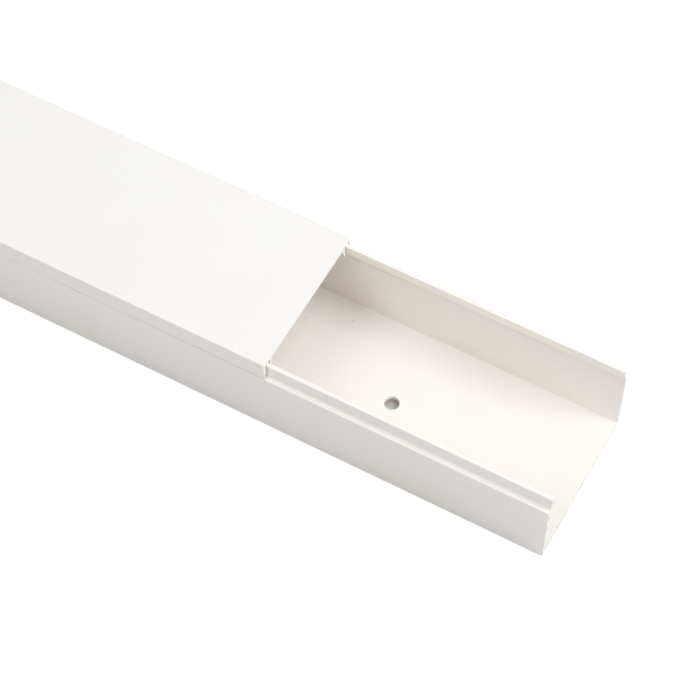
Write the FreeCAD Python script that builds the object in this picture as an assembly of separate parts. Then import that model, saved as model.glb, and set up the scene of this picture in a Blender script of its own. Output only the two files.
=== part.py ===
"""Cord cover raceway of extruded white uPVC: a channel that is screwed to a wall
and a clip-on cover that grips the channel's two rails and slides along them.

Units are millimetres.  X runs along the raceway, Y across it and Z away from the
wall it is fixed to.  The origin is the centre of the channel's underside.
The cover is shown slid back, so that one end of the channel lies open.
"""
import FreeCAD
import Part
import math
import os

Vector = FreeCAD.Vector

# Overall sizes of the raceway, as such trunking is named and sold
outer_width = 40.0
overall_height = 25.0
piece_length = 400.0

# Walls of the channel
wall_thickness = 1.1
floor_thickness = 1.1
floor_corner_radius = 0.2
back_edge_radius = 0.15

# Shoulder on which the cover's skirt ends, hollowed up into the rail that stands on it
shoulder_height = 19.2
shoulder_width = 1.0
shoulder_rise = 0.25
shoulder_edge_radius = 0.1
shoulder_fillet = 0.9

# Lip round the top of the rail, with the undercut that the cover's barbs catch
lip_thickness = 1.1
lip_height = 2.5
lip_edge_radius = 0.28
undercut_depth = 0.35
undercut_rise = 0.2
web_height = 0.95
web_run_out = 1.4
web_bend_radius = 0.5

# Screw holes punched through the floor, a little to one side of the centre line
hole_diameter = 3.6
hole_end_distance = 47.7
hole_offset = -1.5
hole_row_count = 2

# Cover plate and its two outer skirts
cover_plate_thickness = 1.05
cover_edge_radius = 0.4
skirt_thickness = 0.75
skirt_foot_width = 0.35
skirt_foot_radius = 0.1
bead_height = 2.0
bead_radius = 0.4
bead_proud = 0.15
bead_fade = 1.2

# Inner legs of the cover, which taper down to barbs
leg_root_thickness = 0.9
leg_root_radius = 0.25
leg_splay = 0.3
barb_reach = 0.75
barb_fall = 0.15
barb_point_radius = 0.05
barb_nose = 0.4
leg_tip_setback = 0.95
leg_tip_radius = 0.08

# Clearances between the two pieces, kept along the whole slide
seat_clearance = 0.2
skirt_clearance = 0.2
lip_side_clearance = 0.5
barb_clearance = 0.15

# How far the cover is slid back from the open end
cover_setback = 70.5

# Places that follow from the sizes above, for the side at positive Y
side_face = outer_width / 2
wall_inner = side_face - wall_thickness
rail_outer = side_face - shoulder_width
lip_inner = rail_outer - lip_thickness
web_inner = lip_inner + undercut_depth
rail_top = overall_height - cover_plate_thickness - seat_clearance
lip_bottom = rail_top - lip_height
plate_underside = overall_height - cover_plate_thickness


def rounded_outline(corners):
    """Closed wire in the YZ plane through corners of (y, z, radius)."""
    edges = []
    joints = []
    count = len(corners)
    for index in range(count):
        here = Vector(0, corners[index][0], corners[index][1])
        before = Vector(0, corners[index - 1][0], corners[index - 1][1])
        after = Vector(0, corners[(index + 1) % count][0], corners[(index + 1) % count][1])
        radius = corners[index][2]
        back = (before - here).normalize()
        ahead = (after - here).normalize()
        half_angle = back.getAngle(ahead) / 2
        if radius == 0:
            joints.append((here, here))
            continue
        tangent_length = radius / math.tan(half_angle)
        bisector = (back + ahead).normalize()
        middle = here + bisector * (radius / math.sin(half_angle) - radius)
        start = here + back * tangent_length
        end = here + ahead * tangent_length
        edges.append(Part.Arc(start, middle, end).toShape())
        joints.append((start, end))
    for index in range(count):
        line_start = joints[index - 1][1]
        line_end = joints[index][0]
        edges.append(Part.LineSegment(line_start, line_end).toShape())
    return Part.Wire(Part.__sortEdges__(edges))


def extruded_profile(half_corners, start_x):
    """Solid bar of one piece's length, from the corners of its positive-Y half."""
    mirrored = [(-y, z, radius) for y, z, radius in reversed(half_corners)]
    outline = rounded_outline(half_corners + mirrored)
    outline.translate(Vector(start_x, 0, 0))
    return Part.Face(outline).extrude(Vector(piece_length, 0, 0))


def channel_section():
    """Corners from the wall face up the outside, over the rail and down the inside."""
    web_bottom = lip_bottom - web_height
    return [
        (side_face, 0, back_edge_radius),
        (side_face, shoulder_height, shoulder_edge_radius),
        (rail_outer, shoulder_height + shoulder_rise, shoulder_fillet),
        (rail_outer, rail_top, lip_edge_radius),
        (lip_inner, rail_top, lip_edge_radius),
        (lip_inner, lip_bottom, 0),
        (web_inner, lip_bottom - undercut_rise, 0),
        (web_inner, web_bottom, web_bend_radius),
        (wall_inner, web_bottom - web_run_out, web_bend_radius),
        (wall_inner, floor_thickness, floor_corner_radius),
    ]


def cover_section():
    """Corners from the top edge down the skirt, up inside it and round the leg."""
    skirt_bottom = shoulder_height + skirt_clearance
    skirt_inner = side_face - skirt_thickness
    bead_crest = skirt_bottom + bead_height
    leg_outer = lip_inner - lip_side_clearance
    leg_root_outer = leg_outer - leg_splay
    leg_root_inner = leg_root_outer - leg_root_thickness
    barb_top = lip_bottom - barb_clearance
    barb_point = barb_top - barb_fall
    leg_tip = barb_point - barb_nose
    return [
        (side_face, overall_height, cover_edge_radius),
        (side_face, skirt_bottom, skirt_foot_radius),
        (side_face - skirt_foot_width, skirt_bottom, skirt_foot_radius),
        (skirt_inner - bead_proud, bead_crest, bead_radius),
        (skirt_inner, bead_crest + bead_fade, bead_radius),
        (skirt_inner, plate_underside, leg_root_radius),
        (leg_root_outer, plate_underside, leg_root_radius),
        (leg_outer, barb_top, 0),
        (leg_outer + barb_reach, barb_point, barb_point_radius),
        (leg_outer + barb_reach - leg_tip_setback, leg_tip, leg_tip_radius),
        (leg_root_inner, plate_underside, leg_root_radius),
    ]


def make_channel():
    """The channel, with its row of punched screw holes."""
    channel = extruded_profile(channel_section(), -piece_length / 2)
    row_start = piece_length / 2 - hole_end_distance
    row_pitch = 2 * row_start / (hole_row_count - 1)
    for number in range(hole_row_count):
        hole_foot = Vector(row_start - number * row_pitch, hole_offset, -floor_thickness)
        hole = Part.makeCylinder(hole_diameter / 2, 3 * floor_thickness, hole_foot)
        channel = channel.cut(hole)
    return channel.Solids[0]


def make_cover():
    """The clip-on cover, slid back along the rails."""
    return extruded_profile(cover_section(), -piece_length / 2 - cover_setback)


def save(node, shape):
    """Write one piece and print what it measures."""
    box = shape.BoundBox
    print(node, shape.ShapeType, "valid", shape.isValid(), "volume", round(shape.Volume, 1),
          "box", [round(v, 3) for v in (box.XMin, box.YMin, box.ZMin, box.XMax, box.YMax, box.ZMax)])
    shape.exportStep("parts/" + node + ".step")


os.makedirs("parts", exist_ok=True)
save("base_channel", make_channel())
save("clip_cover", make_cover())
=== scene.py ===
"""Looks of a white uPVC cord cover raceway, and the pale studio it lies in.

The frame holds the channel and its clip-on cover at their real size. This file
gives them their finish, adds what sawing left on their cut ends, and sets up the
floor, the lamps and the camera. Blender's units here are metres.
"""
import math
import random

import bmesh
import bpy
from mathutils import Matrix, Vector, noise


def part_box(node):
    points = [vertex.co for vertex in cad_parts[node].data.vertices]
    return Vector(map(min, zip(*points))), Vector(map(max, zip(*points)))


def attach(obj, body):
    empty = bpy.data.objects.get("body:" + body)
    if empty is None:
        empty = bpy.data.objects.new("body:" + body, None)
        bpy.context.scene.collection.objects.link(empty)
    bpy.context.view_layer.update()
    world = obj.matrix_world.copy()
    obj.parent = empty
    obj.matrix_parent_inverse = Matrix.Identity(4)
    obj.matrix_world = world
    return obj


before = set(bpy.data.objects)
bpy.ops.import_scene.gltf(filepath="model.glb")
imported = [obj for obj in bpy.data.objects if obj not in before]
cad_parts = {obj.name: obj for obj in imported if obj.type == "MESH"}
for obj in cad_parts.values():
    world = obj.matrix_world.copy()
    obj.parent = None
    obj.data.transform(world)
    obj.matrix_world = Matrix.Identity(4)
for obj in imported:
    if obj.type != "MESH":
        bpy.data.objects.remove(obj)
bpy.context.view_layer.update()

bl_info = {
    "name": "Cord cover raceway",
    "version": (1, 0, 0),
    "blender": (4, 5, 0),
    "location": "3D View > Sidebar > Raceway",
    "description": "Finishes a plastic cord cover raceway and sets up its studio",
    "category": "Object",
}

MILLIMETRE = 0.001

CHANNEL_LOW, CHANNEL_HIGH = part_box("base_channel")
COVER_LOW, COVER_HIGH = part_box("clip_cover")
OPEN_END = CHANNEL_HIGH[0]

CHANNEL_PLASTIC = "Extruded uPVC, channel"
COVER_PLASTIC = "Extruded uPVC, cover"
SWARF_PLASTIC = "uPVC swarf"

# Inner face and lower edge of the lips round the rails
LIP_INNER = 17.9 * MILLIMETRE
LIP_BOTTOM = 21.25 * MILLIMETRE

# Thickness of the channel's floor, and the middle of its screw holes from the cut ends and centre line
FLOOR_THICKNESS = 1.1 * MILLIMETRE
HOLE_FROM_END = 47.7 * MILLIMETRE
HOLE_ACROSS = -1.5 * MILLIMETRE

# A face looks along an axis where its normal's part along it is above the first value, and
# across the axis where that part is below the second
FACING, NOT_FACING = 0.9, 0.5

# Noise textures stay mostly between these two values
NOISE_LOW, NOISE_HIGH = 0.35, 0.65

# A speck is solid to this share of the specks' pitch, and gone at the next
SPECK_SOLID, SPECK_GONE = 0.012, 0.03

# Die lines are this many times longer than wide, and a wave texture repeats at this share of its scale
DIE_LINE_STRETCH = 1000
WAVE_REPEAT = 0.3

# The painted seam shade is solid up to this share of its height
SEAM_SHADE_SOLID = 0.2

# Painted shade: dark spots at the inner edge of the near wall's open end, where a burr hanging from the
# cut would shade it; place across and height in millimetres.
# Each spot is this many times taller than wide.
BURR_SHADOW_SPOTS = ((-19.05, 15.7), (-19.05, 11.5))
BURR_SHADOW_STRETCH = 4

# A burr's height and root as shares of the full one: the mean, the least, and how noise moves
# them, as (share, turns per metre)
BURR_MEAN, BURR_LEAST, BURR_WAVES = 0.5, 0.05, ((0.9, 2600), (0.5, 700))
ROOT_MEAN, ROOT_WAVES = 0.6, ((0.4, 1500),)

# Swarf left on the channel's floor: distance from the open end, place across and size in millimetres
SWARF = (
    (76.3, 9.4, 0.55),
    (66.2, 14.0, 0.55),
    (33.8, -0.1, 0.22),
    (24.0, -9.5, 0.16),
    (11.0, 6.0, 0.18),
    (3.5, -2.0, 0.20),
    (2.2, 12.5, 0.14),
)
SWARF_SEED = 5

# A crumb is a ball made uneven by this share of its size, in lumps this wide, and then squashed.
# Its place, times this many turns per metre, gives each crumb lumps of its own.
CRUMB_UNEVEN = 0.35
CRUMB_LUMP = 0.2 * MILLIMETRE
CRUMB_TURNS = 9000
CRUMB_SQUASH = (1.3, 0.8, 0.45)

# Name, direction round from +X and up from the floor in degrees, and power in watts
SOFTBOXES = (
    ("Key over the open end", 0, 40, 11.95),
    ("High light by the far wall", 30, 60, 5.15),
    ("Light over the far wall", 90, 40, 3.60),
    ("High fill over the cover", 240, 60, 5.80),
    ("Low fill by the cover", 240, 15, 2.15),
    ("Fill on the near wall", 270, 40, 1.95),
    ("Low fill by the camera", 300, 15, 2.80),
)

# The card of painted shade under the holes and the paper lie this far under the channel, so that no two
# faces share a plane.
# The card covers this share of the channel's underside.
SHADE_CARD_DEPTH = 0.02 * MILLIMETRE
PAPER_DEPTH = 0.04 * MILLIMETRE
PAPER_HALF_WIDTH = 3.0
SHADE_CARD_SHARE = 0.9

SENSOR_WIDTH = 36.0
IMAGE_WIDTH = 700
NEAREST_SEEN, FURTHEST_SEEN = 0.05, 20.0


def linear(hex_colour, alpha=1.0):
    """Scene colour of an sRGB hex value."""
    channels = [int(hex_colour[place:place + 2], 16) / 255 for place in (1, 3, 5)]
    made = [c / 12.92 if c <= 0.04045 else ((c + 0.055) / 1.055) ** 2.4 for c in channels]
    return (*made, alpha)


def put(tree, kind, settings=None, values=None, links=None):
    """Add one node with its settings, its socket values and its incoming links."""
    node = tree.nodes.new(kind)
    for name, value in (settings or {}).items():
        setattr(node, name, value)
    for socket, value in (values or {}).items():
        node.inputs[socket].default_value = value
    for socket, source in (links or {}).items():
        tree.links.new(source, node.inputs[socket])
    return node


def ramp(tree, value, start, end, before=0.0, after=1.0):
    """A value that goes from before to after while another one goes from start to end."""
    return put(tree, "ShaderNodeMapRange",
               values={"From Min": start, "From Max": end, "To Min": before, "To Max": after},
               links={"Value": value}).outputs["Result"]


def maths(tree, operation, *terms):
    """One step of arithmetic on sockets and fixed numbers."""
    fixed = {place: term for place, term in enumerate(terms) if isinstance(term, (int, float))}
    linked = {place: term for place, term in enumerate(terms) if place not in fixed}
    return put(tree, "ShaderNodeMath", {"operation": operation}, fixed, linked).outputs["Value"]


def axes(tree, vector):
    """The three numbers of a vector, as sockets named X, Y and Z."""
    return put(tree, "ShaderNodeSeparateXYZ", links={"Vector": vector}).outputs


def object_place(tree):
    """Place on the object, in metres."""
    return put(tree, "ShaderNodeTexCoord").outputs["Object"]


def empty_material(name):
    """A new material with no nodes in it yet."""
    material = bpy.data.materials.new(name)
    material.use_nodes = True
    material.node_tree.nodes.clear()
    return material


class RacewayFinish(bpy.types.PropertyGroup):
    """Colours and grain of the plastic."""
    plastic: bpy.props.FloatVectorProperty(
        name="Plastic", description="Body colour of the white uPVC",
        subtype="COLOR", size=4, min=0, max=1, default=linear("#F8EFE5"))
    plastic_pale: bpy.props.FloatVectorProperty(
        name="Plastic, paler", description="Colour of the faint paler bands in the uPVC",
        subtype="COLOR", size=4, min=0, max=1, default=linear("#F9F1E8"))
    band_size: bpy.props.FloatProperty(
        name="Band size", description="Size of the faint paler bands",
        unit="LENGTH", default=22 * MILLIMETRE)
    skin_roughness: bpy.props.FloatProperty(
        name="Skin roughness", description="Roughness of the satin skin that the die leaves",
        min=0, max=1, default=0.42)
    refraction: bpy.props.FloatProperty(
        name="Refraction", description="Index of refraction of rigid PVC", default=1.53)
    die_line_pitch: bpy.props.FloatProperty(
        name="Die line pitch", description="Width of the faint lines that extrusion leaves",
        unit="LENGTH", default=0.7 * MILLIMETRE)
    die_line_depth: bpy.props.FloatProperty(
        name="Die line depth", description="Depth of the faint lines that extrusion leaves",
        unit="LENGTH", precision=6, default=0.002 * MILLIMETRE)
    speck: bpy.props.FloatVectorProperty(
        name="Speck", description="Colour of dust and carbon specks in the surface",
        subtype="COLOR", size=4, min=0, max=1, default=linear("#E4DDD3"))
    speck_pitch: bpy.props.FloatProperty(
        name="Speck pitch", description="Mean distance between specks",
        unit="LENGTH", default=7.4 * MILLIMETRE)
    # Partly painted light: the cut ends are paler than the skin, for stress whitening and for the light
    # that falls on them
    pale_cut_and_light: bpy.props.FloatVectorProperty(
        name="Cut, paler and lit", description="Paler colour of the sawn ends, partly stress whitening and partly painted light",
        subtype="COLOR", size=4, min=0, max=1, default=linear("#FFF9F0"))
    cut_roughness: bpy.props.FloatProperty(
        name="Cut roughness", description="Roughness of the sawn ends",
        min=0, max=1, default=0.7)
    saw_pitch: bpy.props.FloatProperty(
        name="Saw mark pitch", description="Distance between tooth marks on a cut end",
        unit="LENGTH", default=0.35 * MILLIMETRE)
    saw_depth: bpy.props.FloatProperty(
        name="Saw mark depth", description="Depth of the tooth marks on a cut end",
        unit="LENGTH", precision=6, default=0.01 * MILLIMETRE)
    # Painted shade: spots that stand in for the shadows of a burr on a cut end
    burr_shadow_colour: bpy.props.FloatVectorProperty(
        name="Painted burr shadow", description="Colour of the painted burr shadows on a sawn end",
        subtype="COLOR", size=4, min=0, max=1, default=linear("#8D867C"))
    burr_shadow_size: bpy.props.FloatProperty(
        name="Nick size", description="Half the width of a painted burr shadow",
        unit="LENGTH", default=0.3 * MILLIMETRE)
    # Painted light: the lips' inner faces are made paler than the plastic
    lip_light_colour: bpy.props.FloatVectorProperty(
        name="Painted lip light",
        description="Painted light: paler colour of the lips' inner faces, for the extra light they catch from above",
        subtype="COLOR", size=4, min=0, max=1, default=linear("#FFF7EC"))
    lip_light_fade: bpy.props.FloatProperty(
        name="Lip light fade", description="Width over which the painted light fades out",
        unit="LENGTH", default=0.2 * MILLIMETRE)
    # Painted seam shade: a grey line along the cover's foot that stands in for the shadow in the seam
    seam_shade: bpy.props.FloatVectorProperty(
        name="Painted seam shade", description="Colour of the painted seam shade along the cover's foot",
        subtype="COLOR", size=4, min=0, max=1, default=linear("#A9A39A"))
    seam_shade_height: bpy.props.FloatProperty(
        name="Painted seam shade height", description="How far the painted seam shade reaches up the skirt",
        unit="LENGTH", default=0.5 * MILLIMETRE)
    seam_shade_length: bpy.props.FloatProperty(
        name="Painted seam shade length", description="How far the painted seam shade reaches back from the end",
        unit="LENGTH", default=60 * MILLIMETRE)
    seam_shade_strength: bpy.props.FloatProperty(
        name="Painted seam shade strength", description="Share of its colour at the end",
        min=0, max=1, default=0.6)
    swarf_dusty: bpy.props.FloatVectorProperty(
        name="Swarf, dusty", description="Colour of the dust that clings to the crumbs of plastic",
        subtype="COLOR", size=4, min=0, max=1, default=linear("#E0D7CB"))
    swarf_clean: bpy.props.FloatVectorProperty(
        name="Swarf, clean", description="Colour of the crumbs where no dust clings",
        subtype="COLOR", size=4, min=0, max=1, default=linear("#EBE3D9"))
    swarf_grain: bpy.props.FloatProperty(
        name="Swarf grain", description="Size of the dusty patches on a crumb",
        unit="LENGTH", default=0.15 * MILLIMETRE)


class RacewaySawing(bpy.types.PropertyGroup):
    """What the saw left at the cut ends."""
    burr_height: bpy.props.FloatProperty(
        name="Burr height", description="How far the tallest burr stands off the skin",
        unit="LENGTH", default=0.12 * MILLIMETRE)
    burr_root: bpy.props.FloatProperty(
        name="Burr root", description="How far a burr reaches back from the cut",
        unit="LENGTH", default=0.25 * MILLIMETRE)
    burr_pitch: bpy.props.FloatProperty(
        name="Burr pitch", description="Distance between the points of a burr",
        unit="LENGTH", default=0.2 * MILLIMETRE)
    inner_margin: bpy.props.FloatProperty(
        name="Margin", description="Least distance of a burr from the sides, where the two pieces slide",
        unit="LENGTH", default=1.0 * MILLIMETRE)


class RacewayStudio(bpy.types.PropertyGroup):
    """Floor, lamps and camera."""
    camera_place: bpy.props.FloatVectorProperty(
        name="Camera place", description="Where the camera stands",
        subtype="XYZ", unit="LENGTH", size=3, default=(0.2810, -0.2649, 0.4764))
    camera_azimuth: bpy.props.FloatProperty(
        name="Azimuth", description="Turn of the view from along +Y towards -X",
        subtype="ANGLE", default=math.radians(27.96))
    camera_elevation: bpy.props.FloatProperty(
        name="Elevation", description="How far the camera looks down",
        subtype="ANGLE", default=math.radians(57.11))
    camera_roll: bpy.props.FloatProperty(
        name="Roll", description="Tilt of the camera about its line of sight",
        subtype="ANGLE", default=math.radians(0.875))
    focal_pixels: bpy.props.FloatProperty(
        name="Focal length in pixels", description="Focal length on an image 700 pixels wide",
        default=2425.4)
    softbox_size: bpy.props.FloatProperty(
        name="Softbox size", description="Width of each softbox", unit="LENGTH", default=0.8)
    softbox_distance: bpy.props.FloatProperty(
        name="Softbox distance", description="Distance of each softbox from the raceway",
        unit="LENGTH", default=1.4)
    softbox_colour: bpy.props.FloatVectorProperty(
        name="Softbox colour", description="Colour of the softboxes' light",
        subtype="COLOR", size=4, min=0, max=1, default=linear("#F2F9FF"))
    paper: bpy.props.FloatVectorProperty(
        name="Paper", description="Colour of the paper floor as the camera sees it",
        subtype="COLOR", size=4, min=0, max=1, default=linear("#FFF9F7"))
    paper_glow: bpy.props.FloatProperty(
        name="Paper glow", description="Light added to the paper so that the camera sees it white",
        min=0, default=0.28)
    paper_far_glow: bpy.props.FloatProperty(
        name="Paper far glow",
        description="The same far from the raceway, where the softboxes light it less",
        min=0, default=0.8)
    glow_rise_from: bpy.props.FloatProperty(
        name="Glow rises from",
        description="Distance from the raceway's middle where the glow starts to rise",
        unit="LENGTH", default=0.15)
    glow_rise_to: bpy.props.FloatProperty(
        name="Glow rises to",
        description="Distance from the raceway's middle where it reaches its far value",
        unit="LENGTH", default=0.6)
    paper_bounce: bpy.props.FloatVectorProperty(
        name="Paper bounce", description="Colour of the light that the paper sends back",
        subtype="COLOR", size=4, min=0, max=1, default=linear("#D2D2D2"))
    paper_shade: bpy.props.FloatVectorProperty(
        name="Paper bounce by the walls", description="The same close beside the raceway's walls",
        subtype="COLOR", size=4, min=0, max=1, default=linear("#A9A9A9"))
    shade_reach: bpy.props.FloatProperty(
        name="Shade reach", description="How far from a wall the bounce is greyer",
        unit="LENGTH", default=25 * MILLIMETRE)
    shade_fade: bpy.props.FloatProperty(
        name="Shade fade", description="How far before the cut ends the greyer bounce fades out",
        unit="LENGTH", default=5 * MILLIMETRE)
    # Painted shade seen through the holes, darker under their far rims
    hole_shade_dark: bpy.props.FloatVectorProperty(
        name="Card, dark", description="Card seen through a hole, under its far rim",
        subtype="COLOR", size=4, min=0, max=1, default=linear("#8F857A"))
    hole_shade_light: bpy.props.FloatVectorProperty(
        name="Card, light", description="Card seen through a hole, at its near rim",
        subtype="COLOR", size=4, min=0, max=1, default=linear("#CCCEC9"))
    hole_shade_dark_at: bpy.props.FloatProperty(
        name="Card dark at",
        description="Place of the dark side, from the hole's middle towards the camera",
        unit="LENGTH", default=-1.8 * MILLIMETRE)
    hole_shade_light_at: bpy.props.FloatProperty(
        name="Card light at",
        description="Place of the light side, from the hole's middle towards the camera",
        unit="LENGTH", default=1.1 * MILLIMETRE)


def blend(tree, factor, base, over):
    """Mix a fixed colour over another colour by a factor."""
    return put(tree, "ShaderNodeMix", {"data_type": "RGBA"}, values={"B": over},
               links={"Factor": factor, "A": base}).outputs["Result"]


def painted_seam_shade(tree, place, colour, finish):
    """Painted shade along the foot of the cover's skirts: a grey line that stands in for the shadow in the
    seam over the shoulder.

    It is strongest at the cover's end and fades away from it.
    """
    at = axes(tree, place)
    foot, end = COVER_LOW[2], COVER_HIGH[0]
    near_foot = ramp(tree, at["Z"], foot + SEAM_SHADE_SOLID * finish.seam_shade_height, foot + finish.seam_shade_height,
                     before=1.0, after=0.0)
    near_end = ramp(tree, at["X"], end - finish.seam_shade_length, end, after=finish.seam_shade_strength)
    return blend(tree, maths(tree, "MULTIPLY", near_foot, near_end), colour, finish.seam_shade)


def painted_lip_light(tree, place, colour, finish):
    """Painted light on the lips' inner faces, which are made paler for the extra light they catch from
    above.
    """
    at = axes(tree, place)
    fade, half_fade = finish.lip_light_fade, finish.lip_light_fade / 2
    inner = ramp(tree, maths(tree, "ABSOLUTE", at["Y"]),
                 LIP_INNER + half_fade, LIP_INNER + half_fade + fade, before=1.0, after=0.0)
    above = ramp(tree, at["Z"], LIP_BOTTOM - half_fade, LIP_BOTTOM + half_fade)
    return blend(tree, maths(tree, "MULTIPLY", inner, above), colour, finish.lip_light_colour)


def channel_painted_light_and_shade(tree, place, colour, finish):
    """Painted light on the lips, and painted shade in dark spots at the near wall's open end, where a
    hanging burr would shade it.
    """
    colour = painted_lip_light(tree, place, colour, finish)
    width = finish.burr_shadow_size
    # Painted shade: a dark spot at each place where a burr would shade the cut end
    for across, height in BURR_SHADOW_SPOTS:
        middle = (OPEN_END, across * MILLIMETRE, height * MILLIMETRE)
        spot = put(tree, "ShaderNodeMapping", {"vector_type": "TEXTURE"},
                   values={"Location": middle, "Scale": (width, width, BURR_SHADOW_STRETCH * width)},
                   links={"Vector": place})
        fade = put(tree, "ShaderNodeTexGradient", {"gradient_type": "SPHERICAL"},
                   links={"Vector": spot.outputs["Vector"]})
        colour = blend(tree, fade.outputs["Fac"], colour, finish.burr_shadow_colour)
    return colour


def upvc_colour(tree, place, finish):
    """Warm white with faint paler bands, a few centimetres long, and some specks."""
    bands = put(tree, "ShaderNodeTexNoise",
                values={"Scale": 1 / finish.band_size, "Detail": 2.0, "Roughness": 0.5},
                links={"Vector": place})
    banded = put(tree, "ShaderNodeMix", {"data_type": "RGBA"},
                 values={"A": finish.plastic, "B": finish.plastic_pale},
                 links={"Factor": ramp(tree, bands.outputs["Fac"], NOISE_LOW, NOISE_HIGH)})

    # Specks: the points of a Voronoi pattern, each as strong as its random colour says
    cells = put(tree, "ShaderNodeTexVoronoi", values={"Scale": 1 / finish.speck_pitch, "Randomness": 1.0},
                links={"Vector": place})
    near = ramp(tree, cells.outputs["Distance"], SPECK_SOLID, SPECK_GONE, before=1.0, after=0.0)
    dice = put(tree, "ShaderNodeSeparateColor", links={"Color": cells.outputs["Color"]})
    picked = maths(tree, "MULTIPLY", near, dice.outputs["Red"])
    return blend(tree, picked, banded.outputs["Result"], finish.speck)


def upvc_relief(tree, place, on_cut, finish):
    """Bump of the skin's die lines, and of the saw's tooth marks on a cut end."""
    # Noise drawn out along X
    across = 1 / finish.die_line_pitch
    stretched = put(tree, "ShaderNodeMapping",
                    values={"Scale": (across / DIE_LINE_STRETCH, across, across)},
                    links={"Vector": place})
    die_lines = put(tree, "ShaderNodeTexNoise", values={"Scale": 1.0, "Detail": 3.0, "Roughness": 0.6},
                    links={"Vector": stretched.outputs["Vector"]})
    teeth = put(tree, "ShaderNodeTexWave", {"wave_type": "BANDS", "bands_direction": "DIAGONAL"},
                values={"Scale": WAVE_REPEAT / finish.saw_pitch, "Distortion": 3.0, "Detail": 3.0,
                        "Detail Scale": 2.0},
                links={"Vector": place})
    height = put(tree, "ShaderNodeMix", {"data_type": "FLOAT"},
                 links={"Factor": on_cut, "A": die_lines.outputs["Fac"], "B": teeth.outputs["Fac"]})
    depth = ramp(tree, on_cut, 0.0, 1.0, before=finish.die_line_depth, after=finish.saw_depth)
    return put(tree, "ShaderNodeBump", values={"Strength": 1.0},
               links={"Height": height.outputs["Result"], "Distance": depth}).outputs["Normal"]


def extruded_upvc(name, finish, paint_light_and_shade):
    """White rigid PVC, extruded through a die and sawn to length.

    The die gives a satin skin with hardly visible lines along X, the pigment a warm
    white with a few specks, and the saw a duller, ribbed end face, paler partly from stress
    whitening and partly from painted light. The last argument is the step that paints light and
    shade on its own piece: the channel's lighter lips and burr shadows, or the cover's seam shade.
    """
    material = empty_material(name)
    tree = material.node_tree
    place = object_place(tree)

    # Cut ends: faces that look along X
    normal = axes(tree, put(tree, "ShaderNodeNewGeometry").outputs["True Normal"])
    on_cut = maths(tree, "GREATER_THAN", maths(tree, "ABSOLUTE", normal["X"]), FACING)

    # The cut ends are paler: partly the plastic stressed white by the saw, partly painted light on the
    # ends
    coloured = blend(tree, on_cut, upvc_colour(tree, place, finish), finish.pale_cut_and_light)
    rough = ramp(tree, on_cut, 0.0, 1.0, before=finish.skin_roughness, after=finish.cut_roughness)
    shader = put(tree, "ShaderNodeBsdfPrincipled", values={"IOR": finish.refraction},
                 links={"Base Color": paint_light_and_shade(tree, place, coloured, finish), "Roughness": rough,
                        "Normal": upvc_relief(tree, place, on_cut, finish)})
    put(tree, "ShaderNodeOutputMaterial", links={"Surface": shader.outputs["BSDF"]})
    return material


def swarf_upvc(finish):
    """Crumbs of rigid PVC with dust on them, so that they show as small dots on the white floor."""
    material = empty_material(SWARF_PLASTIC)
    tree = material.node_tree
    patches = put(tree, "ShaderNodeTexNoise", values={"Scale": 1 / finish.swarf_grain, "Detail": 1.0},
                  links={"Vector": object_place(tree)})
    colour = put(tree, "ShaderNodeMix", {"data_type": "RGBA"},
                 values={"A": finish.swarf_dusty, "B": finish.swarf_clean},
                 links={"Factor": patches.outputs["Fac"]})
    shader = put(tree, "ShaderNodeBsdfPrincipled",
                 values={"IOR": finish.refraction, "Roughness": finish.cut_roughness},
                 links={"Base Color": colour.outputs["Result"]})
    put(tree, "ShaderNodeOutputMaterial", links={"Surface": shader.outputs["BSDF"]})


def dress(node_name, material):
    """Give a node of the frame its finish in every slot."""
    target = bpy.data.objects[node_name]
    if not target.material_slots:
        target.data.materials.append(material)
    for material_slot in target.material_slots:
        material_slot.material = material


class RACEWAY_OT_dress_channel(bpy.types.Operator):
    """Give the channel its extruded plastic"""
    bl_idname = "raceway.dress_channel"
    bl_label = "Channel"

    def execute(self, context):
        finish = context.scene.raceway_finish
        dress("base_channel", extruded_upvc(CHANNEL_PLASTIC, finish, channel_painted_light_and_shade))
        return {"FINISHED"}


class RACEWAY_OT_dress_cover(bpy.types.Operator):
    """Give the cover its extruded plastic"""
    bl_idname = "raceway.dress_cover"
    bl_label = "Cover"

    def execute(self, context):
        finish = context.scene.raceway_finish
        # The cover gets painted shade along the seam at its foot
        dress("clip_cover", extruded_upvc(COVER_PLASTIC, finish, painted_seam_shade))
        return {"FINISHED"}


def new_piece(name, bm, body, material_name):
    """Turn a bmesh into a piece of the raceway that moves with a body."""
    mesh = bpy.data.meshes.new(name)
    bm.to_mesh(mesh)
    bm.free()
    mesh.materials.append(bpy.data.materials[material_name])
    piece = bpy.data.objects.new(name, mesh)
    bpy.context.scene.collection.objects.link(piece)
    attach(piece, body)


def cut_edges(node_name, end_x, half_width, top):
    """Edges of a cut face that look into the raceway, as (start, end, direction off the skin)."""
    node = bpy.data.objects[node_name]
    same_place, same_plane = 0.001 * MILLIMETRE, 0.01 * MILLIMETRE
    source = bmesh.new()
    source.from_mesh(node.data)
    bmesh.ops.transform(source, matrix=node.matrix_world, verts=source.verts)
    bmesh.ops.remove_doubles(source, verts=source.verts, dist=same_place)
    source.normal_update()
    found = []
    for edge in source.edges:
        if any(abs(corner.co.x - end_x) > same_plane or abs(corner.co.y) > half_width or corner.co.z > top
               for corner in edge.verts):
            continue
        skins = [face.normal.copy() for face in edge.link_faces if abs(face.normal.x) < NOT_FACING]
        # One side of such an edge is the cut and the other is skin, and not the underside
        if len(skins) == 1 and len(edge.link_faces) == 2 and skins[0].z > -FACING:
            found.append((edge.verts[0].co.copy(), edge.verts[1].co.copy(), skins[0]))
    source.free()
    if not found:
        raise RuntimeError(f"no cut edges found on {node_name} at x = {end_x:.4f}")
    return found


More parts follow.
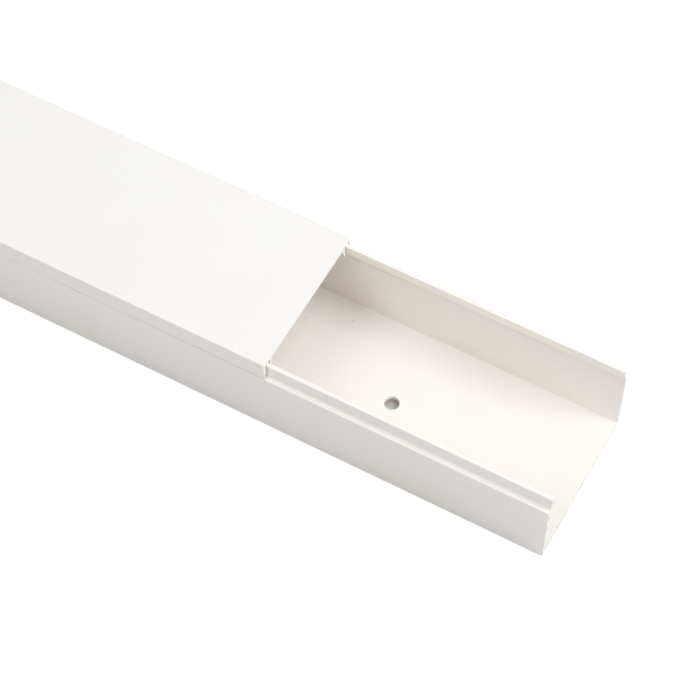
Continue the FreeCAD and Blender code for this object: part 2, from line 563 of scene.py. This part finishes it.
def wander(place, waves):
    """Sum of noises at a place, each given as (share, turns per metre)."""
    return sum(share * noise.noise(place * turns) for share, turns in waves)


def add_burr(bm, start, end, off_skin, backwards, sawing):
    """One ragged fin along an edge: a closed three-sided ridge whose height wanders.

    A strip of three faces across is wrapped round the ridge: from its foot behind the
    cut over its crest to the edge itself, and back under it.
    """
    steps = max(1, round((end - start).length / sawing.burr_pitch))
    strip = bmesh.ops.create_grid(bm, x_segments=steps, y_segments=3, size=1.0)["verts"]
    for corner in strip:
        along, across = (corner.co.x + 1) / 2, corner.co.y
        foot = start.lerp(end, along)
        height = sawing.burr_height * min(1.0, max(BURR_LEAST, BURR_MEAN + wander(foot, BURR_WAVES)))
        root = sawing.burr_root * (ROOT_MEAN + wander(foot, ROOT_WAVES))
        # Of the four rows across, the outer two are the foot and the inner two the crest and the edge
        outer_row = abs(across) > 0.5
        corner.co = foot
        if outer_row:
            corner.co += Vector((backwards * root, 0, 0))
        elif across < 0:
            corner.co += off_skin * height
    bmesh.ops.remove_doubles(bm, verts=strip, dist=0.0001 * MILLIMETRE)


class RACEWAY_OT_saw_burrs(bpy.types.Operator):
    """Leave a fine ragged burr along the inner edges of the sawn ends"""
    bl_idname = "raceway.saw_burrs"
    bl_label = "Saw burrs"

    def execute(self, context):
        sawing = context.scene.raceway_sawing
        plate_top = COVER_HIGH[2] - sawing.inner_margin
        # The channel's burr ends below the cover's foot, so that the two don't meet as the cover slides
        for node, body, low, high, top, material_name in (
                ("base_channel", "channel", CHANNEL_LOW, CHANNEL_HIGH, COVER_LOW[2], CHANNEL_PLASTIC),
                ("clip_cover", "cover", COVER_LOW, COVER_HIGH, plate_top, COVER_PLASTIC)):
            bm = bmesh.new()
            for end_x, backwards in ((low[0], 1), (high[0], -1)):
                for start, end, off_skin in cut_edges(node, end_x, high[1] - sawing.inner_margin, top):
                    add_burr(bm, start, end, off_skin, backwards, sawing)
            bmesh.ops.holes_fill(bm, edges=[edge for edge in bm.edges if edge.is_boundary], sides=3)
            bmesh.ops.recalc_face_normals(bm, faces=bm.faces)
            new_piece(f"saw_burr_{body}", bm, body, material_name)
        return {"FINISHED"}


class RACEWAY_OT_swarf(bpy.types.Operator):
    """Scatter the few crumbs of plastic that sawing left on the channel's floor"""
    bl_idname = "raceway.swarf"
    bl_label = "Swarf"

    def execute(self, context):
        swarf_upvc(context.scene.raceway_finish)
        dice = random.Random(SWARF_SEED)
        bm = bmesh.new()
        for from_end, across, size in SWARF:
            place = Vector((OPEN_END - from_end * MILLIMETRE, across * MILLIMETRE, FLOOR_THICKNESS))
            crumb = bmesh.ops.create_icosphere(bm, subdivisions=2, radius=0.5 * size * MILLIMETRE)["verts"]
            for corner in crumb:
                corner.co *= 1 + CRUMB_UNEVEN * noise.noise(corner.co / CRUMB_LUMP + place * CRUMB_TURNS)
            bmesh.ops.scale(bm, verts=crumb, vec=CRUMB_SQUASH)
            bmesh.ops.rotate(bm, verts=crumb, matrix=Matrix.Rotation(dice.uniform(0, math.tau), 3, "Z"))
            lowest = min(corner.co.z for corner in crumb)
            bmesh.ops.translate(bm, verts=crumb, vec=place - Vector((0, 0, lowest)))
        new_piece("swarf", bm, "channel", SWARF_PLASTIC)
        return {"FINISHED"}


def seen_directly(tree):
    """1 on rays from the camera and in gloss, 0 on the rays that only carry light."""
    path = put(tree, "ShaderNodeLightPath").outputs
    return maths(tree, "MAXIMUM", path["Is Camera Ray"], path["Is Glossy Ray"])


def paper_material(studio):
    """Matt paper: white to the camera where it is lit and darker in shadow.

    The light that it sends back to the object is that of a slightly greyer paper,
    and greyer still close beside the walls, so that these darken towards the floor.
    Far out it glows more, so that the floor looks evenly pale from all sides.
    """
    material = empty_material("Matt white paper")
    tree = material.node_tree
    on_floor = object_place(tree)
    at = axes(tree, on_floor)
    wall = CHANNEL_HIGH[1]
    from_wall = ramp(tree, maths(tree, "ABSOLUTE", at["Y"]), wall, wall + studio.shade_reach)
    past_end = ramp(tree, maths(tree, "ABSOLUTE", at["X"]), OPEN_END - studio.shade_fade, OPEN_END)
    bounce_colour = put(tree, "ShaderNodeMix", {"data_type": "RGBA"},
                        values={"A": studio.paper_shade, "B": studio.paper_bounce},
                        links={"Factor": maths(tree, "MAXIMUM", from_wall, past_end)})
    bounce = put(tree, "ShaderNodeBsdfDiffuse", values={"Roughness": 1.0},
                 links={"Color": bounce_colour.outputs["Result"]})

    white = put(tree, "ShaderNodeBsdfDiffuse", values={"Color": studio.paper, "Roughness": 1.0})
    from_middle = put(tree, "ShaderNodeVectorMath", {"operation": "LENGTH"}, links={0: on_floor})
    strength = ramp(tree, from_middle.outputs["Value"], studio.glow_rise_from, studio.glow_rise_to,
                    before=studio.paper_glow, after=studio.paper_far_glow)
    glow = put(tree, "ShaderNodeEmission", values={"Color": linear("#FFFFFF")},
               links={"Strength": strength})
    shown = put(tree, "ShaderNodeAddShader", links={0: white.outputs["BSDF"], 1: glow.outputs["Emission"]})
    mix = put(tree, "ShaderNodeMixShader",
              links={0: seen_directly(tree), 1: bounce.outputs["BSDF"], 2: shown.outputs["Shader"]})
    put(tree, "ShaderNodeOutputMaterial", links={"Surface": mix.outputs["Shader"]})
    return material


def hole_shade_card_material(studio):
    """Painted shade: a grey card that lies under the channel and shows only through its holes, standing in
    for the shade under the channel.

    It is darker under the far rim of each hole, where less light comes in.
    """
    material = empty_material("Painted shade under the holes")
    tree = material.node_tree
    at = axes(tree, object_place(tree))
    turn = studio.camera_azimuth
    past_hole = maths(tree, "SUBTRACT", maths(tree, "ABSOLUTE", at["X"]), OPEN_END - HOLE_FROM_END)
    across_hole = maths(tree, "SUBTRACT", at["Y"], HOLE_ACROSS)
    sideways = maths(tree, "MULTIPLY", past_hole, math.sin(turn))
    towards_camera = maths(tree, "MULTIPLY_ADD", across_hole, -math.cos(turn), sideways)
    shade = put(tree, "ShaderNodeMix", {"data_type": "RGBA"},
                values={"A": studio.hole_shade_dark, "B": studio.hole_shade_light},
                links={"Factor": ramp(tree, towards_camera, studio.hole_shade_dark_at, studio.hole_shade_light_at)})
    matt = put(tree, "ShaderNodeBsdfDiffuse", values={"Roughness": 1.0},
               links={"Color": shade.outputs["Result"]})
    put(tree, "ShaderNodeOutputMaterial", links={"Surface": matt.outputs["BSDF"]})
    return material


def lay_sheet(name, half_sizes, height, material):
    """A flat rectangle of the studio, centred on the origin."""
    mesh = bpy.data.meshes.new(name)
    bm = bmesh.new()
    bmesh.ops.create_grid(bm, x_segments=1, y_segments=1, size=1.0)
    bmesh.ops.scale(bm, verts=bm.verts, vec=(*half_sizes, 1.0))
    bmesh.ops.translate(bm, verts=bm.verts, vec=(0, 0, height))
    bm.to_mesh(mesh)
    bm.free()
    mesh.materials.append(material)
    sheet = bpy.data.objects.new(name, mesh)
    bpy.context.scene.collection.objects.link(sheet)


def add_softbox(name, azimuth, elevation, watts, studio):
    """A square softbox in a direction from the raceway, turned towards it."""
    data = bpy.data.lights.new(name, "AREA")
    data.shape = "SQUARE"
    data.size = studio.softbox_size
    data.energy = watts
    data.color = studio.softbox_colour[:3]
    outwards = Vector((math.cos(elevation) * math.cos(azimuth),
                       math.cos(elevation) * math.sin(azimuth), math.sin(elevation)))
    lamp = bpy.data.objects.new(name, data)
    lamp.location = outwards * studio.softbox_distance
    lamp.rotation_euler = outwards.to_track_quat("Z", "Y").to_euler()
    bpy.context.scene.collection.objects.link(lamp)


def set_world(scene):
    """White all round for the camera, reflections and glass. It sheds no light of its own."""
    world = bpy.data.worlds.new("Studio")
    scene.world = world
    world.use_nodes = True
    tree = world.node_tree
    tree.nodes.clear()
    through = put(tree, "ShaderNodeLightPath").outputs["Is Transmission Ray"]
    seen = maths(tree, "MAXIMUM", seen_directly(tree), through)
    white = put(tree, "ShaderNodeBackground", values={"Color": linear("#FFFFFF")},
                links={"Strength": seen})
    put(tree, "ShaderNodeOutputWorld", links={"Surface": white.outputs["Background"]})


def place_camera(scene, studio):
    """The photograph's camera, found from the straight edges of the object."""
    data = bpy.data.cameras.new("Camera")
    data.sensor_width = SENSOR_WIDTH
    data.lens = studio.focal_pixels * SENSOR_WIDTH / IMAGE_WIDTH
    data.clip_start, data.clip_end = NEAREST_SEEN, FURTHEST_SEEN
    camera = bpy.data.objects.new("Camera", data)
    azimuth, elevation = studio.camera_azimuth, studio.camera_elevation
    look = Vector((-math.sin(azimuth) * math.cos(elevation),
                   math.cos(azimuth) * math.cos(elevation), -math.sin(elevation)))
    turn = look.to_track_quat("-Z", "Y").to_matrix() @ Matrix.Rotation(studio.camera_roll, 3, "Z")
    camera.matrix_world = Matrix.Translation(studio.camera_place) @ turn.to_4x4()
    scene.collection.objects.link(camera)
    scene.camera = camera


class RACEWAY_OT_stage(bpy.types.Operator):
    """Set up the floor, the soft light and the camera"""
    bl_idname = "raceway.stage"
    bl_label = "Studio"

    def execute(self, context):
        scene = context.scene
        studio = scene.raceway_studio
        scene.view_settings.view_transform = "Standard"
        lay_sheet("Floor", (PAPER_HALF_WIDTH, PAPER_HALF_WIDTH), -PAPER_DEPTH, paper_material(studio))
        # A grey card under the channel gives the painted shade seen through its holes
        lay_sheet("Hole shade card", (SHADE_CARD_SHARE * CHANNEL_HIGH[0], SHADE_CARD_SHARE * CHANNEL_HIGH[1]), -SHADE_CARD_DEPTH,
                  hole_shade_card_material(studio))
        set_world(scene)
        for name, azimuth, elevation, watts in SOFTBOXES:
            add_softbox(name, math.radians(azimuth), math.radians(elevation), watts, studio)
        place_camera(scene, studio)
        return {"FINISHED"}


class RACEWAY_PT_panel(bpy.types.Panel):
    """Sizes, colours and the steps that make the raceway"""
    bl_idname = "RACEWAY_PT_panel"
    bl_label = "Cord cover raceway"
    bl_space_type = "VIEW_3D"
    bl_region_type = "UI"
    bl_category = "Raceway"

    def draw(self, context):
        column = self.layout.column(align=True)
        for group in (context.scene.raceway_finish, context.scene.raceway_sawing,
                      context.scene.raceway_studio):
            for name in group.__annotations__:
                column.prop(group, name)
        for step in STEPS:
            column.operator(step.bl_idname)


STEPS = (RACEWAY_OT_dress_channel, RACEWAY_OT_dress_cover, RACEWAY_OT_saw_burrs, RACEWAY_OT_swarf,
         RACEWAY_OT_stage)
CLASSES = (RacewayFinish, RacewaySawing, RacewayStudio, *STEPS, RACEWAY_PT_panel)


def register():
    for made in CLASSES:
        bpy.utils.register_class(made)
    bpy.types.Scene.raceway_finish = bpy.props.PointerProperty(type=RacewayFinish)
    bpy.types.Scene.raceway_sawing = bpy.props.PointerProperty(type=RacewaySawing)
    bpy.types.Scene.raceway_studio = bpy.props.PointerProperty(type=RacewayStudio)


def unregister():
    del bpy.types.Scene.raceway_studio
    del bpy.types.Scene.raceway_sawing
    del bpy.types.Scene.raceway_finish
    for made in reversed(CLASSES):
        bpy.utils.unregister_class(made)


def main():
    """Make every piece in order."""
    register()
    bpy.ops.raceway.dress_channel()
    bpy.ops.raceway.dress_cover()
    bpy.ops.raceway.saw_burrs()
    bpy.ops.raceway.swarf()
    bpy.ops.raceway.stage()


if __name__ == "__main__":
    main()
